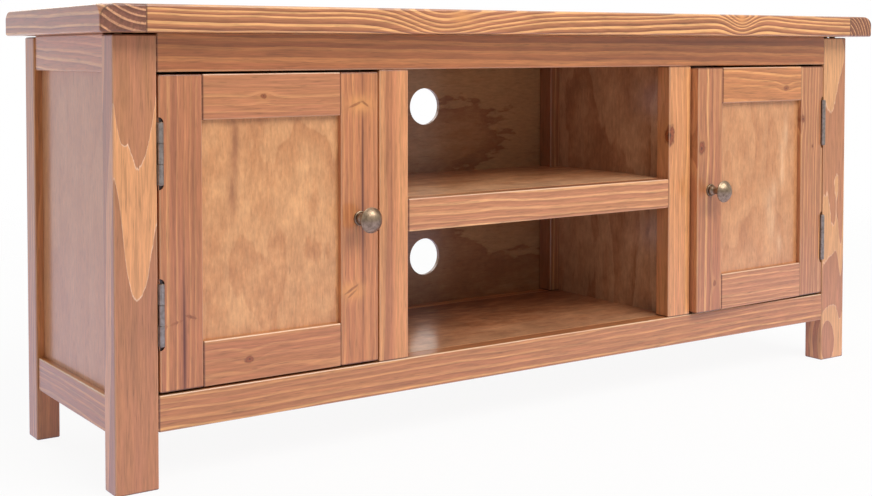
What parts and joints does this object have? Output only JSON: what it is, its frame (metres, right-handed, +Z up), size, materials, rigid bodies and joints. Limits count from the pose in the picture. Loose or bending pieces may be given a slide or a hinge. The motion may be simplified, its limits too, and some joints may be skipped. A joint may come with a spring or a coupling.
{
  "type": "tv stand",
  "caption": "Low stained-pine television stand with framed doors on butt hinges beside an open bay with a shelf and cable holes in the back.",
  "frame": {"origin": "on the floor, under the middle of the box round the whole object at rest, knobs included", "axes": "+X along the stand's length to the right seen from the front, +Y to the back, +Z up"},
  "size_m": [1.205, 0.2964, 0.4985],
  "materials": {
    "top_pine": "stained and lacquered solid pine with eased edges",
    "frame_pine": "stained and lacquered solid pine",
    "hidden_pine": "stained pine, plain inner pieces",
    "panel_veneer": "stained and lacquered pine plywood",
    "door_pine": "stained and lacquered solid pine",
    "dowel_beech": "bare beech",
    "knob_metal": "antique pewter, brushed",
    "hinge_steel": "dull plated steel",
    "screw_steel": "plated steel",
    "catch_plastic": "brown moulded"
  },
  "bodies": {
    "cabinet": {"top_plank_front": "top_pine", "top_plank_middle": "top_pine", "top_plank_rear": "top_pine", "top_end_left": "top_pine", "top_end_right": "top_pine", "front_left_leg": "frame_pine", "front_right_leg": "frame_pine", "rear_left_leg": "frame_pine", "rear_right_leg": "frame_pine", "left_side_top_rail": "frame_pine", "left_side_bottom_rail": "frame_pine", "right_side_top_rail": "frame_pine", "right_side_bottom_rail": "frame_pine", "front_top_rail": "frame_pine", "front_bottom_rail": "frame_pine", "left_mid_stile": "frame_pine", "right_mid_stile": "frame_pine", "shelf_rail": "frame_pine", "left_divider_rear_stile": "frame_pine", "right_divider_rear_stile": "frame_pine", "rear_top_rail": "hidden_pine", "rear_bottom_rail": "hidden_pine", "floor_cleats": "hidden_pine", "cross_rails": "hidden_pine", "shelf_cleats": "hidden_pine", "left_side_panel": "panel_veneer", "right_side_panel": "panel_veneer", "left_divider_panel": "panel_veneer", "right_divider_panel": "panel_veneer", "floor_panel": "panel_veneer", "shelf_panel": "panel_veneer", "back_panel": "panel_veneer", "frame_dowels": "dowel_beech", "hinge_frame_leaves": "hinge_steel", "hinge_pins": "hinge_steel", "frame_screws": "screw_steel", "frame_hinge_screws": "screw_steel", "catch_bodies": "catch_plastic"},
    "left_door": {"left_door_hinge_stile": "door_pine", "left_door_knob_stile": "door_pine", "left_door_top_rail": "door_pine", "left_door_bottom_rail": "door_pine", "left_door_panel": "panel_veneer", "left_door_dowels": "dowel_beech", "left_door_hinge_screws": "screw_steel", "left_knob": "knob_metal", "left_knob_screw": "screw_steel", "left_catch_plate": "screw_steel", "left_hinge_door_leaves": "hinge_steel"},
    "right_door": {"right_door_hinge_stile": "door_pine", "right_door_knob_stile": "door_pine", "right_door_top_rail": "door_pine", "right_door_bottom_rail": "door_pine", "right_door_panel": "panel_veneer", "right_door_dowels": "dowel_beech", "right_door_hinge_screws": "screw_steel", "right_knob": "knob_metal", "right_knob_screw": "screw_steel", "right_catch_plate": "screw_steel", "right_hinge_door_leaves": "hinge_steel"}
  },
  "joints": [
    {"name": "left_door_hinge", "type": "hinge", "parent": "cabinet", "child": "left_door", "pos_m": [-0.5271, -0.10901, 0.2635], "axis": [0, 0, -1], "range_deg": [0, 165]},
    {"name": "right_door_hinge", "type": "hinge", "parent": "cabinet", "child": "right_door", "pos_m": [0.5271, -0.10901, 0.2635], "axis": [0, 0, 1], "range_deg": [-2.3, 162.7]}
  ]
}
